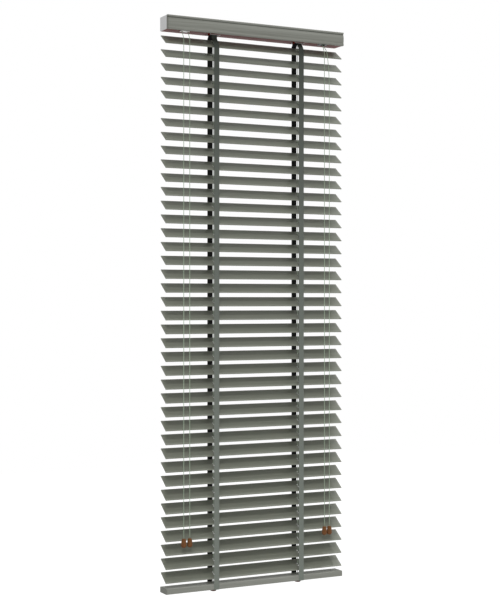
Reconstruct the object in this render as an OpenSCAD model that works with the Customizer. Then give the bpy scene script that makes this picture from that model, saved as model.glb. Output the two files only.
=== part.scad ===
/* [Slats] */
// Number of slats
slat_count = 40; // [2:1:40]
// Length of a slat
slat_len = 650; // [620:1:900]
// Width of a slat, from its front edge to its rear edge
slat_w = 50; // [46:1:54]
// Thickness of a slat
slat_t = 3; // [2.4:0.1:3.4]
// Drop from one slat to the next
slat_pitch = 44; // [40:1:48]
// Tilt of the slats at rest, front edge down
slat_tilt = 36; // [20:1:45]
// Length of a route slot, across the slat
route_len = 16; // [13:0.5:20]
// Width of a route slot, along the slat
route_w = 3.6; // [3:0.2:6]

/* [Ladders] */
// Left ladder, from the slats' left end
ladder_left = 177; // [145:1:205]
// Right ladder, from the slats' right end
ladder_right = 159; // [140:1:185]
// Width of the woven tape
tape_w = 19; // [15:0.5:20]
// Thickness of the woven tape
tape_t = 0.8; // [0.6:0.1:1]
// Spare length of a rung past each edge of its slat
rung_slack = 4.5; // [4:0.1:5]
// Thickness of a rung
rung_t = 0.8; // [0.6:0.1:1]
// Width of a rung
rung_w = 1.2; // [0.8:0.1:1.6]
// Each rung of a pair, from the middle of its tape
rung_offset = 6; // [5:0.5:7]
// Radius of the seam where a rung is woven into the tape
seam_r = 1.2; // [1:0.05:1.25]
// Tape past its first and last seam
tape_over = 1.5; // [1.3:0.1:2]

/* [Headrail] */
// Depth of the headrail, front to back
head_depth = 51; // [50:1:58]
// Height of the headrail
head_h = 44; // [44:1:52]
// Sheet steel of the headrail
head_wall = 0.8; // [0.6:0.1:1]
// Width of the rolled lip at the top
head_lip = 8; // [5:0.5:10]
// Turned-down edge of the lip
lip_drop = 3; // [2:0.5:4]
// Room between the headrail and the first slat standing upright
head_room = 4; // [3.5:0.5:8]
// Thickness of an end cap's plate
cap_t = 1.5; // [1:0.1:3]
// Length of an end cap's collar inside the headrail
cap_collar = 8; // [4:1:14]
// Wall of that collar
cap_wall = 1.6; // [1:0.1:2.5]

/* [Valance] */
// Height of the valance
valance_h = 45; // [42:1:60]
// Thickness of the valance
valance_t = 9; // [7:0.5:12]
// Valance below the underside of the headrail
valance_drop = 0.6; // [0:0.1:4]
// Height of the top bead
bead_top = 7.4; // [5:0.2:9]
// Height of the bottom bead
bead_bottom = 9.5; // [6:0.5:11]
// Depth of the groove under the top bead
groove_top = 3; // [0.8:0.1:4]
// Depth of the groove over the bottom bead
groove_bottom = 1.2; // [0.8:0.1:3]
// Width of the grooves
groove_w = 2.2; // [0.6:0.1:3]

/* [Bottom rail] */
// Height of the bottom rail
rail_h = 18; // [14:0.5:24]
// Room between the rail and the last slat standing upright
rail_room = 6; // [5:0.5:12]
// Rounding of the rail's long edges
rail_ease = 2; // [1:0.5:4]
// Diameter of a cord plug
plug_d = 20; // [14:0.5:24]
// Height of a cord plug under the rail
plug_h = 9; // [5:0.5:12]
// Diameter of a plug's stem
plug_stem_d = 10; // [8:0.5:12]
// Length of a plug's stem
plug_stem = 9; // [5:0.5:10]
// Diameter of a cord hole through the rail
rail_hole_d = 5; // [4:0.2:6]
// Tape turned under the rail
tape_turn = 11; // [6:0.5:12]

/* [Tilt mechanism] */
// Side of the square tilt rod
rod_side = 6; // [5:0.1:6.4]
// Rod past the outer cheek of the right cradle
rod_over = 12; // [6:1:20]
// Rod axis below the middle of the headrail
rod_drop = 2; // [1.5:0.1:2.5]
// Rod axis behind the middle line of the slats
rod_back = 5; // [4.5:0.1:5.5]
// Radius of a tape drum
drum_r = 11.6; // [10:0.1:12.4]
// Side room of the tape on its drum
drum_room = 0.5; // [0.3:0.1:0.8]
// Radius of a drum's journal
journal_r = 6; // [5:0.1:7]
// Thickness of a cradle's cheek
cheek_t = 3; // [2:0.1:3.5]
// Length of a cradle's collar along the headrail
collar_len = 37; // [34:0.5:40]
// Shift of the collar to the right of its ladder
collar_shift = 2.5; // [1:0.5:3.5]
// Length of the opening beside the collar, where the cradle is pushed in
key_len = 8; // [5:0.5:10]
// Depth of that opening
key_depth = 36; // [30:1:40]
// That opening, from the headrail's front face
key_inset = 3; // [2:0.5:5]
// Wall of a collar
collar_wall = 0.8; // [0.6:0.1:1]
// Collars and plates below the headrail
collar_drop = 1; // [0.5:0.1:1.2]
// Spool and cords of the tilter, from the slats' left end
tilter_x = 66.5; // [59:0.5:75]
// Running radius of the cord on its spool
spool_r = 10.5; // [10:0.1:11]
// Width of the spool
spool_w = 3.8; // [3.4:0.1:4]
// Teeth of the worm wheel
gear_teeth = 12; // [10:1:16]
// Outer radius of the worm wheel
gear_r = 7.2; // [6.8:0.1:7.4]
// Depth of its teeth
tooth_depth = 1.6; // [1:0.1:1.8]
// Radius of the worm's core
worm_r = 3; // [2.6:0.1:3.1]
// Radius of the worm's shaft
shaft_r = 2; // [1.6:0.1:2.2]
// Length of the tilter housing along the headrail
tilter_len = 46; // [42:1:50]
// Walls of the tilter housing
housing_wall = 2; // [1.6:0.1:2.4]

/* [Cord outlets] */
// Length of an outlet plate
outlet_len = 29; // [28:0.5:34]
// Depth of an outlet plate
outlet_depth = 14; // [13:0.5:18]
// Thickness of an outlet plate under the headrail
outlet_t = 3; // [2:0.5:4]
// Cords from the headrail's front face
outlet_inset = 5; // [4.6:0.1:6]
// Diameter of a cord hole
cord_hole_d = 4; // [3.2:0.2:5]
// Cord lock, from the slats' right end
lock_x = 75; // [69:1:85]
// Body of the cord lock to the left of its cords
lock_left = 20; // [16:1:24]
// Body of the cord lock to the right of its cords
lock_right = 12; // [9:1:16]
// Depth of the cord lock's body
lock_depth = 11; // [10.6:0.2:14]
// Height of the cord lock's body over the headrail's floor
lock_h = 25; // [22:1:30]
// Walls of the cord lock
lock_wall = 1.6; // [1.2:0.1:2]
// Length of the slot for both lift cords
lock_slot = 5.8; // [5.2:0.2:6.4]
// Radius of the lock's guide bar
bar_r = 2.4; // [2:0.1:2.6]
// Radius of the lock's pinch roller
roller_r = 4; // [3:0.2:4.4]

/* [Cords and tassels] */
// Diameter of the cords
cord_d = 2; // [1.6:0.1:2.2]
// Height of a tassel
tassel_h = 29; // [24:1:36]
// Largest diameter of a tassel
tassel_d = 17; // [13:0.2:17.2]
// Drop from a tassel's top to its widest place
tassel_belly = 21.5; // [16:0.5:22.5]
// Diameter of a tassel's top
tassel_top_d = 12.5; // [8:0.5:13]

/* [Hidden] */
$fn = 64;
clear = 0.3;
fit = 0.1;
slip = 0.08;
lap = 0.5;

// Heights and depths that the pieces share
rear_shift = 0.5;
axis_y = rear_shift - head_depth / 2;
rod_at = axis_y + rod_back;
head_front = -head_depth;
head_top = head_h / 2;
head_bottom = -head_h / 2;
head_floor = head_bottom + head_wall;
half_len = slat_len / 2;
first_z = head_bottom - slat_w / 2 - head_room;
last_z = first_z - (slat_count - 1) * slat_pitch;
rail_top = last_z - slat_w / 2 - rail_room;
rail_bottom = rail_top - rail_h;
rod_z = -rod_drop;
ladders = [ladder_left - half_len, half_len - ladder_right];
tilter_at = tilter_x - half_len;
lock_at = half_len - lock_x;
function slat_z(i) = first_z - (i - 1) * slat_pitch;

// Ladder: seams on the slat's own plane, tapes just outside them
reach = slat_w / 2 + rung_slack;
seam_inset = 0.5;
seam_dy = reach * cos(slat_tilt);
seam_dz = reach * sin(slat_tilt);
tape_dy = seam_dy + seam_inset + tape_t / 2;
rung_sink = slat_t / 2 + rung_t / 2 + fit;

// Drum, cradle and slot
wrap_r = drum_r + fit + tape_t / 2;
drum_half = tape_w / 2 + drum_room;
cheek_in = drum_half + clear;
cheek_out = cheek_in + cheek_t;
rod_bore = rod_side + 2 * fit;
collar_room = 2;
collar_half = wrap_r + tape_t / 2 + collar_room;
slot_depth = 2 * (collar_half + collar_wall + fit);
slot_len = collar_len + 2 * fit;
foot_t = 1.5;
foot_margin = 2;
foot_end = 1.5;
shoulder = 4;
tunnel_front = 6;
tunnel_back = 4;
tunnel_h = 5;

// Bends of the tape's lead between its drum and its straight run
lead_drop = 2;
knee_front = 22;
knee_rear = 1;

// Cord outlets
outlet_y = head_front + outlet_inset;
outlet_mid = head_front + head_wall + fit + outlet_depth / 2;
plate_lip = [1, 1];
neck_len = outlet_len - 2 * plate_lip[0];
neck_depth = outlet_depth - 2 * plate_lip[1];

// Cord lock: the guide bar lies under the cords, the roller over them
lock_front = head_front + head_wall + fit;
lock_back = lock_front + lock_depth;
lock_mid = (lock_front + lock_back) / 2;
bar_left = 4;
bar_up = 2.7;
roller_left = 7;
roller_up = 15.2;
bar = [lock_at - bar_left, lock_mid, head_floor + bar_up];
roller = [lock_at - roller_left, lock_mid, head_floor + roller_up];

// Tilter: the worm lies over the wheel, its spool in front
worm_z = rod_z + gear_r + worm_r + clear;
flange_over = 0.5;
spool_flange = spool_r + cord_d / 2 + flange_over;
spool_core = spool_r - cord_d / 2 - clear;
spool_gap = 1;
tilter_front = outlet_y + spool_w / 2 + spool_gap;
tilter_back = -6;
worm_cover = 3;
worm_over = 2;
shaft_seat = 1;
hub_wall = 0.8;
hub_over = 1;
hub_r = rod_bore * sqrt(2) / 2 + hub_wall;
gear_half = 6;
rod_tail = 4;

// Cord routes: chosen points, each from the place where its cord passes
hang_y = head_front - 8;
tassel_z = last_z + 126;
tilt_a = tilter_at - spool_r;
tilt_b = tilter_at + spool_r;
function drop(x, bend) = concat([[x, hang_y, tassel_z]],
    [for (b = bend) [x + b[0], hang_y + b[1], head_bottom + b[2]]]);
function backwards(route) = [for (i = [len(route) - 1 : -1 : 0]) route[i]];
tilt_bend = [[0, 0, -98], [0, 0, -38], [0, 1, -28], [0, 5, -17], [0, 11, -8], [0, 13, -3],
    [0, 13, 4], [0, 13, 24]];
left_bend = [[0, 0, -98], [0, 0, -40], [0, 1, -28], [0, 4, -19], [0, 10, -9], [0, 12, -4],
    [0, 12, 2], [-1, 12, 6], [-4, 12, 7.6], [-12, 12, 7], [-22, 14, 6], [-50, 25, 4]];
right_bend = [[0, 0, -298], [0, 0, -168], [-0.3, 0, -128], [-1.5, 0.5, -92], [-4.5, 2, -52],
    [-7.5, 4.5, -24], [-11.5, 11, -11], [-19, 14.4, -4], [-19, 14.4, 2], [-20, 14.4, 6],
    [-23, 14.4, 7.6], [-31, 14.4, 7], [-41, 17, 6], [-69, 31, 4]];
function rise(x) = [[x, axis_y, rail_bottom + 10], [x, axis_y, head_bottom - 8],
    [x + 1, axis_y, head_bottom - 1], [x + 5, axis_y, head_bottom + 3],
    [x + 12, axis_y - 0.5, head_bottom + 4]];
tilt_left = drop(tilt_a, tilt_bend);
tilt_right = backwards(drop(tilt_b, tilt_bend));
lift_from_left = concat(rise(ladders[0]),
    [for (x = [ladders[0] + 28, ladders[1] + 18]) [x, axis_y - 4.3, head_bottom + 4]],
    backwards(drop(lock_at, left_bend)));
lift_from_right = concat(rise(ladders[1]), backwards(drop(lock_at + 19, right_bend)));

// Tassels hang where the cords end
tassel_y = tilt_left[0][1];
tassel_top = tilt_left[0][2];

function slat_name(i) = str("slat_", i < 10 ? "0" : "", i);

// Colours as the blind shows them
wood = [0.48, 0.49, 0.45];
maroon = [0.40, 0.26, 0.26];
pale_grey = [0.71, 0.71, 0.71];
white = [0.90, 0.90, 0.89];
slate_blue = [0.50, 0.54, 0.58];
steel = [0.66, 0.67, 0.68];
tape_green = [0.42, 0.45, 0.42];
cord_green = [0.60, 0.67, 0.60];
brown = [0.43, 0.30, 0.20];
red_brown = [0.43, 0.28, 0.24];

// A flat outline in the Y and Z plane, drawn out along X
module along_x(length) {
    rotate([90, 0, 90]) linear_extrude(height = length, center = true) children();
}

module rod_x(radius, length) {
    rotate([0, 90, 0]) cylinder(r = radius, h = length, center = true);
}

module rod_y(radius, length) {
    rotate([90, 0, 0]) cylinder(r = radius, h = length, center = true);
}

module block(low, high) {
    translate(low) cube(high - low);
}

function unit(v) = v / norm(v);
function left_of(v) = [-v[1], v[0]];

// Offset of a bent strip's edge at point i, mitred between its two sides
function mitre(path, i) =
    let (last = len(path) - 1,
         before = left_of(unit(path[max(i, 1)] - path[max(i, 1) - 1])),
         after = left_of(unit(path[min(i, last - 1) + 1] - path[min(i, last - 1)])))
    (before + after) / (1 + before * after);

// A strip of cloth of even thickness along a path in the Y and Z plane
module strip(path, thick, width) {
    along_x(width)
        polygon(concat(
            [for (i = [0 : len(path) - 1]) path[i] + mitre(path, i) * thick / 2],
            [for (i = [len(path) - 1 : -1 : 0]) path[i] - mitre(path, i) * thick / 2]));
}

// A round cord along a route, as one closed tube
cord_sides = 8;
function way(route, i) =
    unit(route[min(i + 1, len(route) - 1)] - route[max(i - 1, 0)]);
function side_start(d) = unit(cross(d, abs(d[0]) < 0.9 ? [1, 0, 0] : [0, 1, 0]));
function side_at(route, i) =
    i == 0 ? side_start(way(route, 0))
    : let (d = way(route, i), s = side_at(route, i - 1)) unit(s - d * (s * d));

module cord(route) {
    last = len(route) - 1;
    rings = [for (i = [0 : last])
        let (d = way(route, i), s = side_at(route, i), t = cross(d, s))
        for (k = [0 : cord_sides - 1])
            let (a = 360 * k / cord_sides)
            route[i] + (s * cos(a) + t * sin(a)) * cord_d / 2];
    walls = [for (i = [0 : last - 1]) for (k = [0 : cord_sides - 1])
        let (n = (k + 1) % cord_sides)
        [i * cord_sides + k, (i + 1) * cord_sides + k,
         (i + 1) * cord_sides + n, i * cord_sides + n]];
    ends = [[for (k = [0 : cord_sides - 1]) k],
            [for (k = [cord_sides - 1 : -1 : 0]) last * cord_sides + k]];
    polyhedron(points = rings, faces = concat(walls, ends), convexity = 10);
}

// Slat with rounded long edges and a route slot at each ladder
module slat(i) {
    color(wood) translate([0, axis_y, slat_z(i)]) rotate([slat_tilt, 0, 0]) difference() {
        along_x(slat_len) slat_profile();
        for (x = ladders) translate([x, 0, 0]) route_slot();
    }
}

module slat_profile() {
    straight = slat_w / 2 - slat_t / 2;
    square([2 * straight, slat_t], center = true);
    for (side = [-1, 1]) translate([side * straight, 0]) circle(d = slat_t);
}

module route_slot() {
    straight = route_len - route_w;
    deep = 2 * slat_t;
    cube([route_w, straight, deep], center = true);
    for (side = [-1, 1]) translate([0, side * straight / 2, 0])
        cylinder(d = route_w, h = deep, center = true);
}

// Straight run of a tape, with a woven seam at every rung
module tape_run(side) {
    seam_y = axis_y + side * seam_dy;
    seam_z = side * seam_dz;
    top = first_z + seam_z + tape_over;
    bottom = last_z + seam_z - tape_over;
    for (x = ladders) translate([x, 0, 0]) union() {
        translate([-tape_w / 2, axis_y + side * tape_dy - tape_t / 2, bottom])
            cube([tape_w, tape_t, top - bottom]);
        for (i = [1 : slat_count]) translate([0, seam_y, slat_z(i) + seam_z])
            rod_x(seam_r, tape_w);
    }
}

module front_tapes() {
    color(tape_green) tape_run(-1);
}

module rear_tapes() {
    color(tape_green) tape_run(1);
}

// What flexes: a rung pair under each slat, the tapes' runs to the drum and round the rail
module ladder_webbing() {
    color(tape_green) for (x = ladders) translate([x, 0, 0]) {
        for (i = [1 : slat_count]) translate([0, axis_y, slat_z(i)]) rotate([slat_tilt, 0, 0])
            for (s = [-1, 1]) translate([s * rung_offset, 0, 0]) rung();
        for (side = [-1, 1]) {
            drum_lead(side);
            rail_tail(side);
        }
    }
}

module rung() {
    tip = reach - seam_r - clear;
    edge = slat_w / 2;
    strip([[-tip, 0], [-edge, -rung_sink], [edge, -rung_sink], [tip, 0]], rung_t, rung_w);
}

module drum_lead(side) {
    tape_y = axis_y + side * tape_dy;
    top = first_z + side * seam_dz + tape_over + clear;
    slot_z = head_bottom - lead_drop;
    knee = top + (side < 0 ? knee_front : knee_rear);
    wrap = [for (a = [6 : 14 : 90]) [rod_at + side * wrap_r * sin(a), rod_z + wrap_r * cos(a)]];
    strip(concat(wrap, [[rod_at + side * wrap_r, slot_z], [tape_y, knee], [tape_y, top]]),
        tape_t, tape_w);
}

module rail_tail(side) {
    tape_y = axis_y + side * tape_dy;
    top = last_z + side * seam_dz - tape_over - clear;
    face_y = axis_y + side * (slat_w / 2 + fit + tape_t / 2);
    under = rail_bottom - fit - tape_t / 2;
    strip([[tape_y, top], [face_y, rail_top - rail_ease], [face_y, under],
        [face_y - side * tape_turn, under]], tape_t, tape_w);
}

// Open-topped steel channel with rolled lips and punched openings
module headrail() {
    channel = slat_len - 2 * cap_t;
    color(maroon) difference() {
        along_x(channel) head_profile();
        for (x = ladders) translate([x + collar_shift, 0, head_bottom]) {
            translate([0, rod_at, 0]) cube([slot_len, slot_depth, 4 * head_wall], center = true);
            translate([-slot_len / 2 - key_len / 2, head_front + key_inset + key_depth / 2, 0])
                cube([key_len + 2 * fit, key_depth, 4 * head_wall], center = true);
        }
        for (x = [tilter_at, lock_at]) translate([x, outlet_mid, head_bottom])
            cube([neck_len + 2 * fit, neck_depth + 2 * fit, 4 * head_wall], center = true);
    }
}

module head_profile() {
    difference() {
        translate([head_front, head_bottom]) square([head_depth, head_h]);
        translate([head_front + head_wall, head_floor])
            square([head_depth - 2 * head_wall, head_h - 2 * head_wall]);
        translate([head_front + head_lip, 0]) square([head_depth - 2 * head_lip, head_h]);
    }
    for (y = [head_front + head_lip - head_wall, -head_lip])
        translate([y, head_top - lip_drop]) square([head_wall, lip_drop]);
}

// Moulded caps: a flat plate outside, a collar inside the channel
module end_caps() {
    color(pale_grey) for (side = [-1, 1]) {
        translate([side * (half_len - cap_t / 2), 0, 0])
            along_x(cap_t) translate([head_front, head_bottom]) square([head_depth, head_h]);
        translate([side * (half_len - cap_t - cap_collar / 2), 0, 0])
            along_x(cap_collar) difference() {
                cap_outline(fit);
                cap_outline(fit + cap_wall);
            }
    }
}

module cap_outline(inset) {
    low = head_floor + inset;
    high = head_top - lip_drop - inset;
    front = head_front + head_wall + inset;
    translate([front, low]) square([head_depth - 2 * (head_wall + inset), high - low]);
}

// Profiled wooden front board: two beads and a crowned face between two grooves
module valance() {
    color(wood) along_x(slat_len) valance_profile();
}

module valance_profile() {
    back = head_front;
    front = back - valance_t;
    low = head_bottom - valance_drop;
    high = low + valance_h;
    crown_low = low + bead_bottom;
    crown_high = high - bead_top;
    half_w = groove_w / 2;
    polygon(concat(
        [[back, low]],
        swell(front, groove_bottom, groove_bottom, low, crown_low - half_w, 6),
        swell(front, groove_bottom, groove_top, crown_low + half_w, crown_high - half_w, 12),
        swell(front, groove_top, groove_bottom, crown_high + half_w, high, 6),
        [[back, high]]));
}

// Points of a moulding's swell, from the depth at its low edge to the depth at its high edge
fullness = 0.6;
function swell(front, deep_low, deep_high, low, high, steps) =
    [for (k = [0 : steps])
        let (s = k / steps, deep = deep_low + (deep_high - deep_low) * s)
        [front + deep * (1 - pow(sin(180 * s), fullness)), low + (high - low) * s]];

// Plastic cradle in each ladder slot: collar, foot and two cheeks that carry the drum
module cradles() {
    color(pale_grey) for (x = ladders) translate([x, rod_at, 0]) difference() {
        union() {
            translate([collar_shift, 0, 0]) {
                block([-collar_len / 2, -collar_half - collar_wall, head_bottom - collar_drop],
                    [collar_len / 2, collar_half + collar_wall, head_floor + foot_t]);
                block([-collar_len / 2 - foot_end, -collar_half - foot_margin, head_floor],
                    [collar_len / 2 + foot_end, collar_half + foot_margin, head_floor + foot_t]);
            }
            for (side = [-1, 1]) translate([side * (cheek_in + cheek_t / 2), 0, 0])
                along_x(cheek_t) cheek_profile();
        }
        translate([collar_shift, 0, 0])
            block([-collar_len / 2 + collar_wall, -collar_half, head_bottom - 2 * collar_drop],
                [collar_len / 2 - collar_wall, collar_half, head_floor + foot_t]);
    }
}

module cheek_profile() {
    wide = collar_half + foot_margin;
    low = head_floor + foot_t;
    high = rod_z + journal_r;
    difference() {
        polygon([[-wide, low], [wide, low],
            [journal_r + shoulder, high],
            [-journal_r - shoulder, high]]);
        translate([0, rod_z]) circle(r = journal_r + slip);
        translate([-journal_r - slip, rod_z]) square([2 * (journal_r + slip), journal_r + lap]);
        translate([-rod_back - tunnel_front, low]) square([tunnel_front + tunnel_back, tunnel_h]);
    }
}

module tilt_rod() {
    low = tilter_at - tilter_len / 2 - rod_tail;
    high = ladders[1] + cheek_out + rod_over;
    color(steel) translate([(low + high) / 2, rod_at, rod_z])
        cube([high - low, rod_side, rod_side], center = true);
}

// Tape drums on the rod, each on two journals
module tilt_drums() {
    color(white) for (x = ladders) translate([x, rod_at, rod_z]) difference() {
        union() {
            rod_x(drum_r, 2 * drum_half);
            rod_x(journal_r, 2 * cheek_out);
        }
        cube([3 * cheek_out, rod_bore, rod_bore], center = true);
    }
}

// Open-topped moulded box for worm and wheel, with the two-hole outlet under the headrail
module tilter_housing() {
    low_x = tilter_at - tilter_len / 2;
    high_x = low_x + tilter_len;
    top = worm_z + shaft_r + worm_cover;
    foot_front = head_front + head_wall + fit;
    color(white) difference() {
        union() {
            block([low_x, foot_front, head_floor], [high_x, tilter_back, head_floor + housing_wall]);
            difference() {
                block([low_x, tilter_front, head_floor], [high_x, tilter_back, top]);
                block([low_x + housing_wall, tilter_front + housing_wall, head_floor],
                    [high_x - housing_wall, tilter_back - housing_wall, top + lap]);
            }
            outlet(tilter_at);
        }
        for (side = [-1, 1]) translate([tilter_at + side * spool_r, outlet_y, head_bottom])
            cylinder(d = cord_hole_d, h = 6 * outlet_t, center = true);
        translate([tilter_at, rod_at, rod_z]) rod_x(hub_r + slip, 2 * tilter_len);
        translate([tilter_at, rod_at, worm_z]) rod_y(shaft_r + slip, 4 * head_depth);
    }
}

// Neck through the headrail's floor and the plate that shows under it
module outlet(x) {
    translate([x, outlet_mid, 0]) {
        block([-neck_len / 2, -neck_depth / 2, head_bottom - lap],
            [neck_len / 2, neck_depth / 2, head_floor + lap]);
        block([-outlet_len / 2, -outlet_depth / 2, head_bottom - outlet_t],
            [outlet_len / 2, outlet_depth / 2, head_bottom]);
    }
}

// Cord spool, shaft and worm core in one moulding
module tilter_spool() {
    rear = tilter_back - housing_wall + shaft_seat;
    front = outlet_y + spool_w / 2;
    worm_half = gear_r + worm_over;
    color(white) translate([tilter_at, 0, worm_z]) {
        translate([0, outlet_y, 0]) difference() {
            rod_y(spool_flange, spool_w);
            difference() {
                rod_y(spool_flange + lap, cord_d + 2 * clear);
                rod_y(spool_core, spool_w);
            }
        }
        translate([0, (rear + front) / 2, 0]) rod_y(shaft_r, rear - front);
        translate([0, rod_at, 0]) rod_y(worm_r, 2 * worm_half);
    }
}

// Worm wheel with its hub, driving the rod
module tilter_gear() {
    hub_half = tilter_len / 2 + hub_over;
    root = gear_r - tooth_depth;
    color(pale_grey) translate([tilter_at, rod_at, rod_z]) difference() {
        union() {
            along_x(2 * gear_half) gear_profile(root);
            rod_x(hub_r, 2 * hub_half);
        }
        cube([3 * hub_half, rod_bore, rod_bore], center = true);
    }
}

// Each tooth as shares of its step: foot, tip, tip, foot
tooth_shares = [0.12, 0.30, 0.70, 0.88];

module gear_profile(root) {
    step = 360 / gear_teeth;
    radii = [root, gear_r, gear_r, root];
    polygon([for (k = [0 : gear_teeth - 1]) for (t = [0 : 3])
        let (a = step * (k + tooth_shares[t])) radii[t] * [cos(a), sin(a)]]);
}

// Cord lock: outlet plate, two walls, a guide bar and the pinch roller between them
module cord_lock() {
    left = lock_at - lock_left;
    right = lock_at + lock_right;
    top = head_floor + lock_h;
    color(slate_blue) {
        difference() {
            union() {
                block([left, lock_front, head_floor], [right, lock_back, head_floor + lock_wall]);
                block([left, lock_front, head_floor], [right, lock_front + lock_wall, top]);
                block([left, lock_back - lock_wall, head_floor], [right, lock_back, top]);
                translate(bar) rod_y(bar_r, lock_depth);
                outlet(lock_at);
            }
            translate([lock_at, outlet_y, head_bottom])
                cube([cord_hole_d, lock_slot, 6 * outlet_t], center = true);
            translate(roller) rod_y(shaft_r + slip, 2 * lock_depth);
        }
        translate(roller) {
            rod_y(roller_r, lock_depth - 2 * lock_wall - 2 * clear);
            rod_y(shaft_r, lock_depth);
        }
    }
}

// Solid wooden rail with eased edges, a cord hole and a plug bore at each ladder
module bottom_rail() {
    color(wood) difference() {
        translate([0, axis_y, (rail_top + rail_bottom) / 2]) along_x(slat_len) rail_profile();
        for (x = ladders) translate([x, axis_y, 0]) {
            translate([0, 0, rail_bottom - lap]) cylinder(d = rail_hole_d, h = rail_h + 2 * lap);
            translate([0, 0, rail_bottom - lap])
                cylinder(d = plug_stem_d, h = plug_stem + clear + lap);
        }
    }
}

module rail_profile() {
    wide = slat_w - 2 * rail_ease;
    high = rail_h - 2 * rail_ease;
    square([slat_w, high], center = true);
    square([wide, rail_h], center = true);
    for (y = [-1, 1]) for (z = [-1, 1]) translate([y * wide / 2, z * high / 2])
        circle(r = rail_ease);
}

// Turned plugs that close the cord holes under the rail
module cord_plugs() {
    dome = 2.5;
    ease = 0.6;
    rim = plug_h - dome;
    color(red_brown) for (x = ladders) translate([x, axis_y, rail_bottom]) {
        cylinder(d = plug_stem_d - 2 * slip, h = plug_stem);
        rotate_extrude() polygon(concat(
            [[0, 0], [plug_d / 2 - ease, 0], [plug_d / 2, -ease]],
            [for (a = [0 : 10 : 90]) [plug_d / 2 * cos(a), -rim - dome * sin(a)]]));
    }
}

// Lift cords: from the rail through the slats, along the headrail and out at the lock
module lift_cords() {
    color(cord_green) {
        cord(lift_from_left);
        cord(lift_from_right);
    }
}

// One cord over the tilter's spool, with a tassel at each end
module tilt_cord() {
    over = [for (a = [180 : -11.25 : 0])
        [tilter_at + spool_r * cos(a), outlet_y, worm_z + spool_r * sin(a)]];
    color(cord_green) cord(concat(tilt_left, over, tilt_right));
}

// Turned wooden tassel, hung by a cord at its top
module tassel(x) {
    top_r = tassel_top_d / 2;
    wide_r = tassel_d / 2;
    ease = 1;
    flank = [for (k = [0 : 8]) let (s = k / 8)
        [top_r + (wide_r - top_r) * sin(90 * s), -ease - (tassel_belly - ease) * s]];
    foot = [for (a = [15 : 15 : 90])
        [wide_r * cos(a), -tassel_belly - (tassel_h - tassel_belly) * sin(a)]];
    translate([x, tassel_y, tassel_top]) rotate_extrude()
        polygon(concat([[0, 0], [top_r - ease, 0]], flank, foot));
}

module tilt_tassel_a() {
    color(brown) tassel(tilt_left[0][0]);
}

module tilt_tassel_b() {
    color(brown) tassel(tilt_right[len(tilt_right) - 1][0]);
}

module lift_tassels() {
    color(brown) {
        tassel(lift_from_left[len(lift_from_left) - 1][0]);
        tassel(lift_from_right[len(lift_from_right) - 1][0]);
    }
}

headrail();
end_caps();
valance();
cradles();
tilt_rod();
tilt_drums();
tilter_housing();
tilter_spool();
tilter_gear();
cord_lock();
front_tapes();
rear_tapes();
ladder_webbing();
bottom_rail();
cord_plugs();
lift_cords();
tilt_cord();
tilt_tassel_a();
tilt_tassel_b();
lift_tassels();
for (i = [1 : slat_count]) slat(i);
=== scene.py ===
import math

import bpy
from mathutils import Matrix, Vector


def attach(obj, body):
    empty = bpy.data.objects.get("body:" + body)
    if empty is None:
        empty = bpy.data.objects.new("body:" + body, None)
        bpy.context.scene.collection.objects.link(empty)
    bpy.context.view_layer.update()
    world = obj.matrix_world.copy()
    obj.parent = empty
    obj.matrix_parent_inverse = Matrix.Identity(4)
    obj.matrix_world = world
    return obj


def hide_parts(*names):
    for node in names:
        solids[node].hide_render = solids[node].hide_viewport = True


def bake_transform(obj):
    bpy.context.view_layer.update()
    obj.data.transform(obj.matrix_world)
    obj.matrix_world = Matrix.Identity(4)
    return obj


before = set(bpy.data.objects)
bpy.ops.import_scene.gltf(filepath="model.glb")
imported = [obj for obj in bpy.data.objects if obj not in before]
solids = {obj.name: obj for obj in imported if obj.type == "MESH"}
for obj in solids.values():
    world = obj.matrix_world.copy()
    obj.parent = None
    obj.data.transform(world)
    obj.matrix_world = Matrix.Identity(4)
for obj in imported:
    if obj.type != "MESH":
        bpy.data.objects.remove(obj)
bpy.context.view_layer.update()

# View: from the front left at half the blind's height, level, through a long lens, so that
# uprights stay upright. The lens is worked out for a picture of 500 by 600.
lens = bpy.data.cameras.new("view")
lens.sensor_width = 36.0
lens.lens = 82.19
viewer = bpy.data.objects.new("view", lens)
viewer.location = (-2.0946, -4.0202, -0.8814)
viewer.rotation_euler = (math.pi / 2, 0.0, -math.radians(27.511))
bpy.context.scene.collection.objects.link(viewer)
bpy.context.scene.camera = viewer
bpy.context.scene.view_settings.view_transform = "Standard"


# Cords: braided polyester, pale grey-green, painted darker towards the top as painted shade. One runs over
# the tilter's spool, with a tassel at each end; two lift cords run from the bottom rail up through the slats,
# along the headrail and out at the lock. Their routes are in millimetres.
def put(tree, kind, inputs=None, **settings):
    """A node with its settings, and its inputs linked or set."""
    made = tree.nodes.new(kind)
    for name, value in settings.items():
        setattr(made, name, value)
    for name, value in (inputs or {}).items():
        if isinstance(value, bpy.types.NodeSocket):
            tree.links.new(value, made.inputs[name])
        else:
            made.inputs[name].default_value = value
    return made


def worked(tree, operation, *values):
    """The result of a Math node."""
    return put(tree, "ShaderNodeMath", dict(enumerate(values)), operation=operation).outputs[0]


def ranged(tree, value, low, high, to_low=0.0, to_high=1.0):
    """A value brought from one range to another, and held inside it."""
    return put(tree, "ShaderNodeMapRange", {0: value, 1: low, 2: high, 3: to_low, 4: to_high}).outputs[0]


def mixed(tree, share, first, second):
    """A colour between two others, each a socket or three numbers."""
    first, second = [c if isinstance(c, bpy.types.NodeSocket) else (*c, 1) for c in (first, second)]
    return put(tree, "ShaderNodeMix", {0: share, 6: first, 7: second}, data_type="RGBA").outputs[2]


def place_on_part(tree):
    """The X, Y and Z of a point of the surface, in metres."""
    spot = put(tree, "ShaderNodeTexCoord").outputs["Object"]
    return put(tree, "ShaderNodeSeparateXYZ", {0: spot}).outputs


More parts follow.
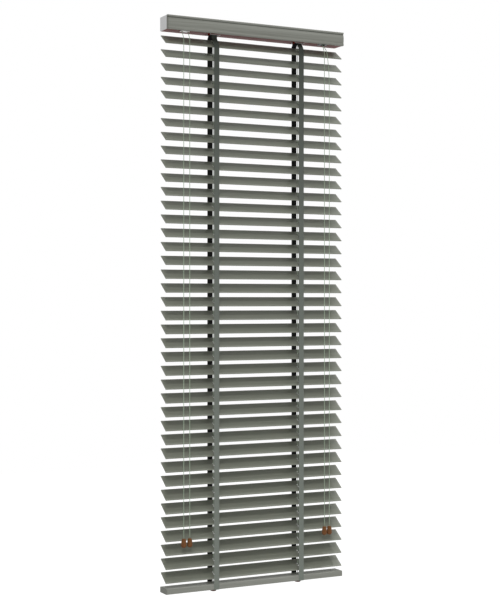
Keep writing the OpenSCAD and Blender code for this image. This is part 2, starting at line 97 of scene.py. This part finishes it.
def group(name, inputs, outputs):
    """An empty shader node group with named sockets, and its two ends."""
    made = bpy.data.node_groups.new(name, "ShaderNodeTree")
    for side, sockets in (("INPUT", inputs), ("OUTPUT", outputs)):
        for label, kind in sockets:
            made.interface.new_socket(name=label, in_out=side, socket_type="NodeSocket" + kind)
    return made, put(made, "NodeGroupInput").outputs, put(made, "NodeGroupOutput").inputs


def finish_named(name):
    """A new material, its node tree and its Principled shader."""
    made = bpy.data.materials.new(name)
    made.use_nodes = True
    return made, made.node_tree, made.node_tree.nodes["Principled BSDF"]


def bump(tree, shader, height, strength, distance):
    """A fine relief on the shader's normal."""
    relief = put(tree, "ShaderNodeBump", {"Height": height, "Strength": strength, "Distance": distance})
    tree.links.new(relief.outputs["Normal"], shader.inputs["Normal"])


def rounded(points, cut=0.006):
    """The points in metres, each corner cut three times, so that a cord bends smoothly there."""
    line = [Vector(p) / 1000 for p in points]
    for _ in range(3):
        eased = [line[0]]
        for before, corner, after in zip(line, line[1:], line[2:]):
            for other in (before, after):
                way = other - corner
                eased.append(corner + way * min(0.25, cut / max(way.length, 1e-9)))
        line = eased + [line[-1]]
        cut /= 2
    return line


def shown(name, points, faces, uvs=None, material=None):
    """A smooth mesh object from its points and faces, with one UV pair for each corner of each face."""
    mesh = bpy.data.meshes.new(name)
    mesh.from_pydata([tuple(p) for p in points], [], faces)
    if uvs:
        layer = mesh.uv_layers.new(name="run")
        flat = [v for face in uvs for pair in face for v in pair]
        layer.data.foreach_set("uv", flat)
    mesh.shade_smooth()
    if material:
        mesh.materials.append(material)
    made = bpy.data.objects.new(name, mesh)
    bpy.context.scene.collection.objects.link(made)
    return made


def skinned(count, loops, ring=False):
    """Faces between loops in a row. A ring joins the last loop to the first, else the ends close."""
    faces = []
    for i in range(loops if ring else loops - 1):
        here, there = i * count, (i + 1) % loops * count
        for k in range(count):
            after = (k + 1) % count
            faces.append([here + k, here + after, there + after, there + k])
    if not ring:
        faces += [list(range(count))[::-1], [(loops - 1) * count + k for k in range(count)]]
    return faces


def tube(line, radius, sides):
    """Points, faces and UVs of a round cord: U goes once round it, V along it in metres."""
    points, uvs = [], []
    across = None
    travelled = [0.0]
    for i, here in enumerate(line):
        way = (line[min(i + 1, len(line) - 1)] - line[max(i - 1, 0)]).normalized()
        guess = across or (Vector((1, 0, 0)) if abs(way.x) < 0.9 else Vector((0, 1, 0)))
        across = (guess - way * guess.dot(way)).normalized()
        upright = way.cross(across)
        for k in range(sides):
            turn = 2 * math.pi * k / sides
            points.append(here + (across * math.cos(turn) + upright * math.sin(turn)) * radius)
        if i:
            travelled.append(travelled[-1] + (here - line[i - 1]).length)
    for low, high in zip(travelled, travelled[1:]):
        for k in range(sides):
            left, right = k / sides, (k + 1) / sides
            uvs.append([(left, low), (right, low), (right, high), (left, high)])
    uvs += [[(k / sides, 0.0) for k in range(sides)]] * 2
    return points, skinned(sides, len(line)), uvs


braid, braid_in, braid_out = group("braid", [("Plaits", "Float"), ("Rise", "Float")],
                                   [("Strand", "Float"), ("Height", "Float")])
along = put(braid, "ShaderNodeSeparateXYZ", {0: put(braid, "ShaderNodeUVMap", uv_map="run").outputs["UV"]})
turns = worked(braid, "MULTIPLY", along.outputs["X"], braid_in["Plaits"])
rise = worked(braid, "MULTIPLY", along.outputs["Y"], braid_in["Rise"])
crossing = []
for hand in ("ADD", "SUBTRACT"):
    lay = worked(braid, hand, turns, rise)
    crossing.append(worked(braid, "SINE", worked(braid, "MULTIPLY", lay, 2 * math.pi)))
plait = worked(braid, "MULTIPLY", *crossing)
fuzz = put(braid, "ShaderNodeTexNoise", {"Scale": 900.0, "Detail": 3.0}).outputs[0]
braid.links.new(ranged(braid, plait, -1.0, 1.0), braid_out["Height"])
braid.links.new(worked(braid, "MULTIPLY", plait, fuzz), braid_out["Strand"])

cord_braid, tree, shader = finish_named("cord braid")
plaits = put(tree, "ShaderNodeGroup", node_tree=braid)
plaits.inputs["Plaits"].default_value = 4.0
plaits.inputs["Rise"].default_value = 420.0
strands = mixed(tree, plaits.outputs["Strand"], (0.47, 0.61, 0.44), (0.58, 0.71, 0.54))
# Painted shade: the cord's colour is mixed towards a darker tone from Z -0.95 m up to -0.05 m.
cord_painted_shade = ranged(tree, place_on_part(tree)["Z"], -0.95, -0.05)
tree.links.new(mixed(tree, cord_painted_shade, strands, (0.30, 0.39, 0.27)), shader.inputs["Base Color"])
shader.inputs["Roughness"].default_value = 0.75
shader.inputs["Sheen Weight"].default_value = 0.25
bump(tree, shader, plaits.outputs["Height"], 0.6, 0.0003)

cord_thick, cord_sides = 0.002, 10
hang_y, hang_z, tassel_end = -59, -70, -1641
tilter_x, outlet_y, spool_z, spool_r = -258.5, -46, 8.5, 10.5
drop = [(outlet_y, 2), (outlet_y, -18), (outlet_y, -25), (-48, -30), (-54, -39), (-58, -50), (hang_y, -60),
        (hang_y, -120), (hang_y, tassel_end)]
for side, hand in (("a", -1), ("b", 1)):
    over_spool = []
    for degrees in range(90, 181, 10):
        turn = math.radians(degrees)
        aside, above = spool_r * math.cos(turn), spool_r * math.sin(turn)
        over_spool.append((tilter_x - hand * aside, outlet_y, spool_z + above))
    x = tilter_x + hand * spool_r
    route = rounded(over_spool + [(x, y, z) for y, z in drop])
    pull = shown("tilt_pull_" + side, *tube(route, cord_thick / 2, cord_sides), cord_braid)
    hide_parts("tilt_cord")
    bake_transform(pull)

rise_left = [(-148, -25, -1806), (-148, -25, -30), (-147, -25, -23), (-143, -25, -19), (-136, -25.5, -18),
             (-120, -29.3, -18), (184, -29.3, -18), (200, -34, -18), (228, -45, -16), (238, -47, -15),
             (246, -47, -14.4), (249, -47, -16), (250, -47, -20), (250, -47, -26), (250, -49, -31),
             (250, -55, -41), (250, -58, -50), (250, hang_y, -62), (250, hang_y, -120),
             (250, hang_y, tassel_end)]
rise_right = [(166, -25, -1806), (166, -25, -30), (167, -25, -23), (171, -25, -19), (178, -25.5, -18),
              (200, -28, -18), (228, -42, -16), (238, -44.6, -15), (246, -44.6, -14.4), (249, -44.6, -16),
              (250, -44.6, -20), (250, -44.6, -26), (257.5, -48, -33), (261.5, -54.5, -46), (264.5, -57, -74),
              (267.5, -58.5, -114), (268.7, hang_y, -150), (269, hang_y, -190), (269, hang_y, -320),
              (269, hang_y, tassel_end)]
for side, points in (("left", rise_left), ("right", rise_right)):
    route = rounded(points)
    lift = shown("lift_cord_" + side, *tube(route, cord_thick / 2, cord_sides), cord_braid)
    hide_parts("lift_cords")
    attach(lift, "headrail")

# Studio: a white sweep and a pale floor below the hanging blind, an even sky and three soft lamps,
# one above the viewer, one at the right and one high up, which shade the slats below each other.
sky = bpy.data.worlds.new("studio")
bpy.context.scene.world = sky
sky.use_nodes = True
tree = sky.node_tree
tree.nodes.clear()


def seen_directly(tree):
    """1 where the camera, a mirror or a clear piece looks at the sweep."""
    path = put(tree, "ShaderNodeLightPath").outputs
    first = worked(tree, "MAXIMUM", path["Is Camera Ray"], path["Is Glossy Ray"])
    return worked(tree, "MAXIMUM", first, path["Is Transmission Ray"])


def either(tree, share, first, second):
    """One of two shaders by a mask."""
    return put(tree, "ShaderNodeMixShader", {0: share, 1: first.outputs[0], 2: second.outputs[0]}).outputs[0]


even = put(tree, "ShaderNodeBackground", {"Color": (1.0, 1.0, 1.0, 1), "Strength": 0.47})
white = put(tree, "ShaderNodeBackground", {"Color": (1.0, 1.0, 1.0, 1), "Strength": 1.0})
put(tree, "ShaderNodeOutputWorld", {0: either(tree, seen_directly(tree), even, white)})

floor_paint = bpy.data.materials.new("pale floor")
floor_paint.use_nodes = True
tree = floor_paint.node_tree
tree.nodes.clear()
matt = put(tree, "ShaderNodeBsdfDiffuse", {"Color": (0.8, 0.8, 0.8, 1)})
shaded = put(tree, "ShaderNodeBsdfDiffuse", {"Color": (0.3, 0.3, 0.3, 1)})
glow = put(tree, "ShaderNodeEmission", {"Strength": 0.82})
pale = put(tree, "ShaderNodeAddShader", {0: shaded.outputs[0], 1: glow.outputs[0]})
put(tree, "ShaderNodeOutputMaterial", {0: either(tree, seen_directly(tree), matt, pale)})
floor_half, floor_z = 6, -2.2
corners = ((-1, -1), (1, -1), (1, 1), (-1, 1))
floor = shown("floor", [(floor_half * u, floor_half * v, floor_z) for u, v in corners], [[0, 1, 2, 3]],
              material=floor_paint)

for name, power, spread, way in (("front softbox", 0.79, 14, (0.302, 0.568, -0.766)),
                                 ("side softbox", 0.38, 5, (-0.572, 0.040, -0.819)),
                                 ("top softbox", 0.46, 6, (-0.224, 0.129, -0.966))):
    lamp = bpy.data.lights.new(name, "SUN")
    lamp.energy = power
    lamp.angle = math.radians(spread)
    softbox = bpy.data.objects.new(name, lamp)
    softbox.rotation_euler = Vector(way).to_track_quat("-Z", "Y").to_euler()
    bpy.context.scene.collection.objects.link(softbox)

# Headrail: an open-topped channel rolled from thin sheet steel, stove-enamelled maroon, with
# rolled lips at the top and punched slots in its floor for the ladders and the cords.
skin, skin_in, skin_out = group("moulded skin", [("Scale", "Float")],
                                [("Mottle", "Float"), ("Height", "Float")])
spot = put(skin, "ShaderNodeTexCoord").outputs["Object"]
fine = put(skin, "ShaderNodeTexNoise", {"Vector": spot, "Scale": skin_in["Scale"], "Detail": 3.0})
broad = put(skin, "ShaderNodeTexNoise", {"Vector": spot, "Scale": 38.0, "Detail": 4.0, "Roughness": 0.6})
skin.links.new(broad.outputs[0], skin_out["Mottle"])
skin.links.new(fine.outputs[0], skin_out["Height"])


def coated(name, dark, pale, roughness, specular, scale, relief):
    """A painted or moulded surface: two near tones in a soft mottle over a fine skin."""
    made, tree, shader = finish_named(name)
    over = put(tree, "ShaderNodeGroup", node_tree=skin)
    over.inputs["Scale"].default_value = scale
    mottle = over.outputs["Mottle"]
    tree.links.new(mixed(tree, mottle, dark, pale), shader.inputs["Base Color"])
    worn = ranged(tree, mottle, 0.0, 1.0, roughness - 0.08, roughness + 0.08)
    tree.links.new(worn, shader.inputs["Roughness"])
    shader.inputs["Specular IOR Level"].default_value = specular
    bump(tree, shader, over.outputs["Height"], relief, 0.0004)
    return made, shader


def dress(material, *names):
    """Gives the named solids a material."""
    for name in names:
        solids[name].data.materials.clear()
        solids[name].data.materials.append(material)


enamel, _ = coated("maroon enamel", (0.180, 0.042, 0.034), (0.204, 0.053, 0.044), 0.5, 0.12, 900.0, 0.08)
dress(enamel, "headrail")

# End caps, cradles and worm wheel: pale grey moulded nylon. The caps push into the channel's
# ends; the cradles snap into the floor slots and carry the drums; the wheel grips the rod.
def moulded(name, dark, pale, roughness, specular):
    """A moulded plastic with the fine skin of its mould."""
    return coated(name, dark, pale, roughness, specular, 1400.0, 0.1)[0]


grey_nylon = moulded("pale grey nylon", (0.63, 0.63, 0.63), (0.70, 0.70, 0.70), 0.5, 0.5)
dress(grey_nylon, "end_caps", "cradles", "tilter_gear")

# Latches: moulded tongues. Each lies on a cradle's foot and reaches down through the
# opening beside the collar, where it holds the cradle against the floor.
# Painted shade: the tongues' deep red stands in for the shaded red inside of the channel, seen through the
# opening.
latch_shade_red = moulded("deep red latch in painted shade", (0.120, 0.010, 0.003), (0.160, 0.014, 0.004), 0.6, 0.05)
sharp_from = math.radians(35)
ladder_places = (("left", -0.148), ("right", 0.166))
tongue = [(-15.5, -17.4), (-22.4, -17.4), (-23, -18), (-23, -25.6), (-22.4, -26.2), (-18.6, -26.2),
          (-18, -25.6), (-18, -18.9), (-15.5, -18.9)]
tongue_middle = Vector((-20, -20))
tongue_layers = ((-37.2, 0.92), (-36.9, 1), (-29.3, 1), (-29, 0.92))
for place, x in ladder_places:
    points = []
    for y, ease in tongue_layers:
        for corner in tongue:
            eased = tongue_middle + (Vector(corner) - tongue_middle) * ease
            points.append(Vector((x * 1000 + eased.x, y, eased.y)) / 1000)
    latch = shown("cradle_latch_" + place, points, skinned(len(tongue), len(tongue_layers)),
                  material=latch_shade_red)
    latch.data.set_sharp_from_angle(angle=sharp_from)
    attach(latch, "headrail")

# Tilter and drums: white moulded plastic. The housing's outlet plate shows under the headrail,
# with two turned brass eyelets that keep the cord from chafing on the holes.
white_plastic = moulded("white plastic", (0.86, 0.86, 0.84), (0.92, 0.92, 0.90), 0.16, 1.0)
dress(white_plastic, "tilter_housing", "tilter_spool", "tilt_drums")


def lathe(profile, centre, steps):
    """Points and faces of a turned ring from its closed outline of radii and heights."""
    points = []
    for i in range(steps):
        turn = -2 * math.pi * i / steps
        points += [centre + Vector((r * math.cos(turn), r * math.sin(turn), z)) for r, z in profile]
    return points, skinned(len(profile), steps, ring=True)


brass, shader = coated("eyelet brass", (0.30, 0.20, 0.12), (0.42, 0.29, 0.17), 0.35, 0.5, 2200.0, 0.05)
shader.inputs["Metallic"].default_value = 0.8
plate_z = -25
ring = [(0.00145, 0.002), (0.0019, 0.002), (0.0019, 0.0), (0.0029, -0.0001), (0.0031, -0.0005),
        (0.0027, -0.0008), (0.0019, -0.0007), (0.00145, -0.0002)]
for side, hand in (("left", -1), ("right", 1)):
    hole = Vector((tilter_x + hand * spool_r, outlet_y, plate_z)) / 1000
    eyelet = shown("eyelet_" + side, *lathe(ring, hole, steps=32), material=brass)
    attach(eyelet, "headrail")

# Worm: two threads moulded round the spool's shaft in the same white plastic. Their rise is
# twice the wheel's tooth pitch, so that one turn of the spool moves the wheel by two teeth.
rod_y = -0.020
shaft = Vector((tilter_x / 1000, rod_y, spool_z / 1000))
thread_reach, thread_r, thread_rise = 0.00365, 0.0007, 0.0067
turns_each_way, steps_each_way = 1.3, 40
for start, hand in (("1", 1), ("2", -1)):
    thread = []
    for k in range(-steps_each_way, steps_each_way + 1):
        turned = turns_each_way * k / steps_each_way
        out = Vector((math.sin(2 * math.pi * turned), 0, -math.cos(2 * math.pi * turned))) * hand
        thread.append(shaft + out * thread_reach + Vector((0, thread_rise * turned, 0)))
    worm = shown("worm_thread_" + start, *tube(thread, thread_r, sides=8), white_plastic)
    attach(worm, "tilter_spool")

# Cord lock: slate grey moulded plastic, with the pinch roller between two walls. Its plate shows
# under the headrail at the right, and both lift cords leave through the plate's slot.
slate_plastic = moulded("slate plastic", (0.27, 0.275, 0.29), (0.33, 0.34, 0.36), 0.6, 0.3)
dress(slate_plastic, "cord_lock")

# Slot frame of the cord lock: a thin black frame let into the plate round the slot and
# turned up over its front edge. Its black is painted shade, for the dark inside of the slot.
slot_shade_black = moulded("black slot shade", (0.022, 0.023, 0.020), (0.034, 0.035, 0.031), 0.85, 0.01)


def oblong(sides, inset, corner, z):
    """Points round a rectangle with rounded corners, in metres. sides are left, right, front and back."""
    left, right, front, back = [s + inset * way for s, way in zip(sides, (1, -1, 1, -1))]
    steps = 5
    points = []
    for i, (x, y) in enumerate(((right, back), (left, back), (left, front), (right, front))):
        inward = Vector((-1 if x == right else 1, -1 if y == back else 1, 0)) * corner
        for step in range(steps + 1):
            turn = math.pi / 2 * (i + step / steps)
            points.append(Vector((x, y, z)) + inward + Vector((math.cos(turn), math.sin(turn), 0)) * corner)
    return [p / 1000 for p in points]


plate_sides, slot_sides = (246, 257.5, -50.6, -39.5), (248.3, 251.7, -48.8, -42.6)
loops = [oblong(plate_sides, 0, 1.5, -22.8), oblong(plate_sides, 0, 1.5, -25.2),
         oblong(plate_sides, 0.3, 1.2, -25.4), oblong(slot_sides, -0.2, 1.2, -25.4),
         oblong(slot_sides, 0, 1.0, -25.1), oblong(slot_sides, 0, 1.0, -24.9)]
slot_shade_frame = shown("lock_slot_shade_frame", [p for loop in loops for p in loop],
                   skinned(len(loops[0]), len(loops), ring=True), material=slot_shade_black)
slot_shade_frame.data.set_sharp_from_angle(angle=sharp_from)
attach(slot_shade_frame, "headrail")

# Tilt rod: a square steel bar through both drums and the wheel. It is drawn to size, so fine
# lines run along it, and bright zinc plated.
zinc, tree, shader = finish_named("zinc plated steel")
shader.inputs["Metallic"].default_value = 1.0
spot = put(tree, "ShaderNodeTexCoord").outputs["Object"]
lines = put(tree, "ShaderNodeVectorMath", {0: spot, 1: (12.0, 2600.0, 2600.0)}, operation="MULTIPLY")
drawn = put(tree, "ShaderNodeTexNoise", {"Vector": lines.outputs[0], "Scale": 1.0, "Detail": 4.0}).outputs[0]
tree.links.new(mixed(tree, drawn, (0.42, 0.43, 0.45), (0.66, 0.67, 0.68)), shader.inputs["Base Color"])
tree.links.new(ranged(tree, drawn, 0.0, 1.0, 0.26, 0.44), shader.inputs["Roughness"])
dress(zinc, "tilt_rod")

# Slats, valance and bottom rail: basswood, planed along the grain, stained grey-green and sealed
# with a satin lacquer that leaves the pores open. The valance's groove is painted darker, as painted
# shade in the recess, and a painted shadow line runs along the two boards' left ends.
figure, figure_in, figure_out = group(
    "wood figure", [("Fibre", "Vector"), ("Pale", "Color"), ("Dark", "Color")],
    [("Color", "Color"), ("Roughness", "Float"), ("Height", "Float")])
spot = put(figure, "ShaderNodeTexCoord").outputs["Object"]
run = put(figure, "ShaderNodeVectorMath", {0: spot, 1: figure_in["Fibre"]}, operation="MULTIPLY").outputs[0]
fibres = put(figure, "ShaderNodeTexNoise",
             {"Vector": run, "Scale": 1.0, "Detail": 5.0, "Roughness": 0.6}).outputs[0]
slow = put(figure, "ShaderNodeTexNoise",
           {"Vector": run, "Scale": 0.16, "Detail": 3.0, "Distortion": 0.6}).outputs[0]
pores = put(figure, "ShaderNodeTexNoise", {"Vector": run, "Scale": 2.6, "Detail": 2.0}).outputs[0]
both = put(figure, "ShaderNodeMix", {0: 0.5, 2: fibres, 3: slow}, data_type="FLOAT").outputs[0]
stain = mixed(figure, ranged(figure, both, 0.36, 0.64), figure_in["Dark"], figure_in["Pale"])
pitted = ranged(figure, pores, 0.62, 0.70, 0.0, 0.35)
figure.links.new(mixed(figure, pitted, stain, figure_in["Dark"]), figure_out["Color"])
figure.links.new(ranged(figure, fibres, 0.0, 1.0, 0.42, 0.58), figure_out["Roughness"])
figure.links.new(worked(figure, "SUBTRACT", fibres, pitted), figure_out["Height"])


def timber(name, fibre, dark, pale, relief, specular):
    """A stained or lacquered wood with its fibres along the given axis, its shader and its colour."""
    made, tree, shader = finish_named(name)
    grain = put(tree, "ShaderNodeGroup", node_tree=figure)
    grain.inputs["Fibre"].default_value = fibre
    grain.inputs["Pale"].default_value = (*pale, 1)
    grain.inputs["Dark"].default_value = (*dark, 1)
    tree.links.new(grain.outputs["Color"], shader.inputs["Base Color"])
    tree.links.new(grain.outputs["Roughness"], shader.inputs["Roughness"])
    shader.inputs["Specular IOR Level"].default_value = specular
    bump(tree, shader, grain.outputs["Height"], relief, 0.0004)
    return made, shader, grain.outputs["Color"]


slat_names = ["slat_%02d" % i for i in range(1, 41)]
slat_stain = timber("grey-green stain", (9.0, 430.0, 430.0),
                    (0.183, 0.194, 0.153), (0.222, 0.235, 0.189), 0.25, 0.6)[0]
dress(slat_stain, *slat_names)
board_stain, shader, stained = timber("paler board stain", (7.0, 380.0, 380.0),
                                      (0.244, 0.250, 0.219), (0.342, 0.350, 0.314), 0.3, 0.08)
groove_z, groove_half, groove_fade = 0.015, 0.0008, 0.0014
end_dark, end_pale = -0.3235, -0.3215
tree = board_stain.node_tree
board_place = place_on_part(tree)
# Painted shade: darker in the valance's groove, and a painted shadow line at both boards' left ends.
off_groove = worked(tree, "ABSOLUTE", worked(tree, "SUBTRACT", board_place["Z"], groove_z))
groove_painted_shade = ranged(tree, off_groove, groove_half, groove_fade, 0.75, 0.0)
left_end_painted_shade = ranged(tree, board_place["X"], end_dark, end_pale, 0.5, 0.0)
stain_with_groove_shade = mixed(tree, groove_painted_shade, stained, (0.090, 0.094, 0.080))
tree.links.new(mixed(tree, left_end_painted_shade, stain_with_groove_shade, (0.130, 0.134, 0.117)), shader.inputs["Base Color"])
dress(board_stain, "valance", "bottom_rail")

# Plugs: small turned knobs of red-brown lacquered beech, pushed into the rail from below to
# close the cord holes and trap the knots.
turned_fibre = (420.0, 420.0, 40.0)
plug_wood = timber("red-brown lacquer", turned_fibre,
                   (0.090, 0.045, 0.032), (0.130, 0.068, 0.048), 0.15, 0.2)[0]
dress(plug_wood, "cord_plugs")

# Tassels: turned beech bells in brown lacquer. Each is threaded on its cord and rests on a knot
# inside the bell.
tassel_wood = timber("brown lacquer", turned_fibre,
                     (0.142, 0.058, 0.021), (0.213, 0.091, 0.034), 0.15, 0.12)[0]
dress(tassel_wood, "tilt_tassel_a", "tilt_tassel_b", "lift_tassels")

# Ladders: woven polyester tape, grey-green outside and black inside. Each tape runs from its drum
# down the slats' edges and under the rail. It is painted darker towards the top as painted shade, darkest
# just under the headrail.
weave, weave_in, weave_out = group("tape weave", [("Thread", "Float")],
                                   [("Height", "Float"), ("Top shade", "Float")])
flat = put(weave, "ShaderNodeSeparateXYZ", {0: put(weave, "ShaderNodeUVMap", uv_map="run").outputs["UV"]})
count_x = worked(weave, "MULTIPLY", flat.outputs["X"], weave_in["Thread"])
count_y = worked(weave, "MULTIPLY", flat.outputs["Y"], weave_in["Thread"])
ribs = []
for counted, share in ((worked(weave, "ADD", count_x, count_y), 0.5), (count_x, 1.0)):
    ribs.append(worked(weave, "SINE", worked(weave, "MULTIPLY", counted, 2 * math.pi * share)))
ridge = put(weave, "ShaderNodeMix", {0: 0.4, 2: ribs[0], 3: ribs[1]}, data_type="FLOAT").outputs[0]
weave.links.new(ranged(weave, ridge, -1.0, 1.0), weave_out["Height"])
height = place_on_part(weave)["Z"]
# Painted shade: the tape darkens towards the top, squared, and more again just under the headrail.
near_top = ranged(weave, height, -1.75, -0.06)
darker_to_top = worked(weave, "MULTIPLY", near_top, near_top)
headrail_painted_shade = ranged(weave, height, -0.074, -0.054, 0.0, 0.15)
weave.links.new(worked(weave, "MULTIPLY_ADD", darker_to_top, 0.85, headrail_painted_shade), weave_out["Top shade"])


def woven(name, low, high, top_shade_tone):
    """One face of the tape: sunk and raised threads in two near tones, mixed towards the darker top tone as
    painted shade.
    """
    made, tree, shader = finish_named(name)
    threads = put(tree, "ShaderNodeGroup", node_tree=weave)
    threads.inputs["Thread"].default_value = 1250.0
    tone = mixed(tree, threads.outputs["Height"], low, high)
    tree.links.new(mixed(tree, threads.outputs["Top shade"], tone, top_shade_tone), shader.inputs["Base Color"])
    shader.inputs["Roughness"].default_value = 0.85
    shader.inputs["Specular IOR Level"].default_value = 0.15
    bump(tree, shader, threads.outputs["Height"], 0.5, 0.0002)
    return made


tape_outside = woven("tape outside", (0.187, 0.208, 0.182), (0.250, 0.274, 0.242), (0.055, 0.062, 0.053))
tape_inside = woven("tape inside", (0.022, 0.022, 0.022), (0.034, 0.034, 0.034), (0.021, 0.021, 0.021))

tape_wide, tape_thick, lead_thick = 0.019, 0.0008, 0.0006
swell_half, swell_reach, outside_swell, inside_swell = 0.0009, 0.004, 0.00025, 0.0011


def tape(name, x, line, hand, thick, seams=()):
    """A length of tape along a line in the Y and Z plane, thicker where a rung is woven in.
    hand is 1 where its outside lies to the right of its way down, and -1 to the left."""
    shares = [-1, -0.94, -0.8, -0.4, 0, 0.4, 0.8, 0.94, 1]
    points, faces, uvs, kinds = [], [], [], []
    count = len(shares)
    travelled = 0.0
    marks = []
    for i, (y, z) in enumerate(line):
        ahead, behind = line[min(i + 1, len(line) - 1)], line[max(i - 1, 0)]
        way = Vector((ahead[0] - behind[0], ahead[1] - behind[1])).normalized()
        out = Vector((way.y, -way.x)) * hand
        if i:
            travelled += math.hypot(y - line[i - 1][0], z - line[i - 1][1])
        marks.append(travelled)
        bulge = sum(math.exp(-((z - s) / swell_half) ** 2) for s in seams if abs(z - s) < swell_reach)
        for face, swell in ((1, outside_swell), (-1, inside_swell)):
            for share in shares[::face]:
                half = thick / 2 * (1 - 0.7 * abs(share) ** 12) + swell * bulge * (1 - abs(share) ** 8)
                points.append((x + share * tape_wide / 2, y + face * out.x * half, z + face * out.y * half))
    ring = 2 * count
    across = [s * tape_wide / 2 for s in shares + shares[::-1]]
    for i in range(len(line) - 1):
        for k in range(ring):
            n = (k + 1) % ring
            corners = [(i, k), (i, n), (i + 1, n), (i + 1, k)]
            faces.append([a * ring + b for a, b in corners][::hand])
            uvs.append([(across[b], marks[a]) for a, b in corners][::hand])
            kinds.append(1 if count <= k < ring - 1 else 0)
    for i, order in ((0, -hand), (len(line) - 1, hand)):
        faces.append([i * ring + k for k in range(ring)][::order])
        uvs.append([(across[k], marks[i]) for k in range(ring)][::order])
        kinds.append(0)
    made = shown(name, points, faces, uvs, tape_outside)
    made.data.set_sharp_from_angle(angle=sharp_from)
    made.data.materials.append(tape_inside)
    made.data.polygons.foreach_set("material_index", kinds)
    return made, marks[-1]


slat_y, first_slat_z, slat_pitch, slat_tilt = -0.025, -0.051, 0.044, math.radians(36)
seam_reach, tape_off_seam = 0.0295, 0.0009
seam_y, seam_z = round(seam_reach * math.cos(slat_tilt), 6), round(seam_reach * math.sin(slat_tilt), 6)
round_seam, between_seams = (-0.0012, -0.0006, 0, 0.0006, 0.0012, 0.0024), (0.012, 0.022, 0.032, 0.0416)
rod_z, drum_reach, slot_z = -0.002, 0.0121, -0.024
rail_reach, rail_top_z, rail_under_z, tail_in = 0.0255, -1.799, -1.8165, 0.011
above_seam, seam_joint, lead_knee, tail_knee = 0.0015, 0.0002, 0.0028, 0.003
# Each front lead sways on its way down: points in millimetres, with None for the tape's own line.
sways = {"left": [(-32.6, -37), (None, -56)], "right": [(-37, -28), (-46, -39), (None, -52)]}

for place, x in ladder_places:
    for run_name, side in (("front", -1), ("rear", 1)):
        tape_y = slat_y + side * (seam_y + tape_off_seam)
        seams = [first_slat_z - slat_pitch * i + side * seam_z for i in range(len(slat_names))]
        heights = [seams[0] + above_seam]
        for s in seams:
            heights += [s - d for d in round_seam]
            if s != seams[-1]:
                heights += [s - d for d in between_seams]
        straight, cut = tape("%s_tape_%s" % (run_name, place), x, [(tape_y, z) for z in heights], -side,
                             tape_thick, seams)
        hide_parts(run_name + "_tapes")
        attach(straight, run_name + "_tapes")

        drum_y = rod_y + side * drum_reach
        bend = []
        for degrees in range(6, 91, 7):
            turn = math.radians(degrees)
            bend.append((rod_y + side * drum_reach * math.sin(turn), rod_z + drum_reach * math.cos(turn)))
        bend.append((drum_y, slot_z))
        if side > 0:
            bend.append((tape_y, seams[0] + lead_knee))
        else:
            bend += [(tape_y if y is None else y / 1000, z / 1000) for y, z in sways[place]]
        bend.append((tape_y, seams[0] + seam_joint))
        eased = [(p.x, p.z) for p in rounded([(y * 1000, 0, z * 1000) for y, z in bend])]
        lead, cut = tape("%s_lead_%s" % (run_name, place), x, eased, -side, lead_thick)
        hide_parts("ladder_webbing")
        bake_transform(lead)

        rail_y = slat_y + side * rail_reach
        bend = [(tape_y, seams[-1] - seam_joint), (tape_y, seams[-1] - tail_knee), (rail_y, rail_top_z),
                (rail_y, rail_under_z), (rail_y - side * tail_in, rail_under_z)]
        eased = [(p.x, p.z) for p in rounded([(y * 1000, 0, z * 1000) for y, z in bend], cut=0.0015)]
        tail, cut = tape("%s_tail_%s" % (run_name, place), x, eased, -side, lead_thick)
        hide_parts("ladder_webbing")
        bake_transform(tail)

# Rungs: thin braided polyester cords, two in each ladder under every slat. Their ends are woven
# into the front and the rear tape, so that the slat lies on them.
rung_cord, tree, shader = finish_named("rung cord")
plaits = put(tree, "ShaderNodeGroup", node_tree=braid)
plaits.inputs["Plaits"].default_value = 3.0
plaits.inputs["Rise"].default_value = 700.0
tree.links.new(mixed(tree, plaits.outputs["Strand"], (0.10, 0.12, 0.105), (0.17, 0.19, 0.17)),
               shader.inputs["Base Color"])
shader.inputs["Roughness"].default_value = 0.8
bump(tree, shader, plaits.outputs["Height"], 0.5, 0.0002)
rung_r, rung_places = 0.00045, (-6, 6)
under_slat = ((-29.4, 0), (-25.5, -1.6), (-23.5, -2.0), (23.5, -2.0), (25.5, -1.6), (29.4, 0))
for i, name in enumerate(slat_names):
    points, faces, uvs = [], [], []
    for place, x in ladder_places:
        for step in rung_places:
            hung = rounded([(x * 1000 + step, y, z) for y, z in under_slat], cut=0.001)
            p, f, u = tube(hung, rung_r, sides=6)
            faces += [[v + len(points) for v in face] for face in f]
            points += p
            uvs += u
    middle = Matrix.Translation((0, slat_y, first_slat_z - slat_pitch * i))
    tilted = middle @ Matrix.Rotation(slat_tilt, 4, "X")
    rungs = shown("rungs_%02d" % (i + 1), [tilted @ p for p in points], faces, uvs, rung_cord)
    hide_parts("ladder_webbing")
    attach(rungs, name)
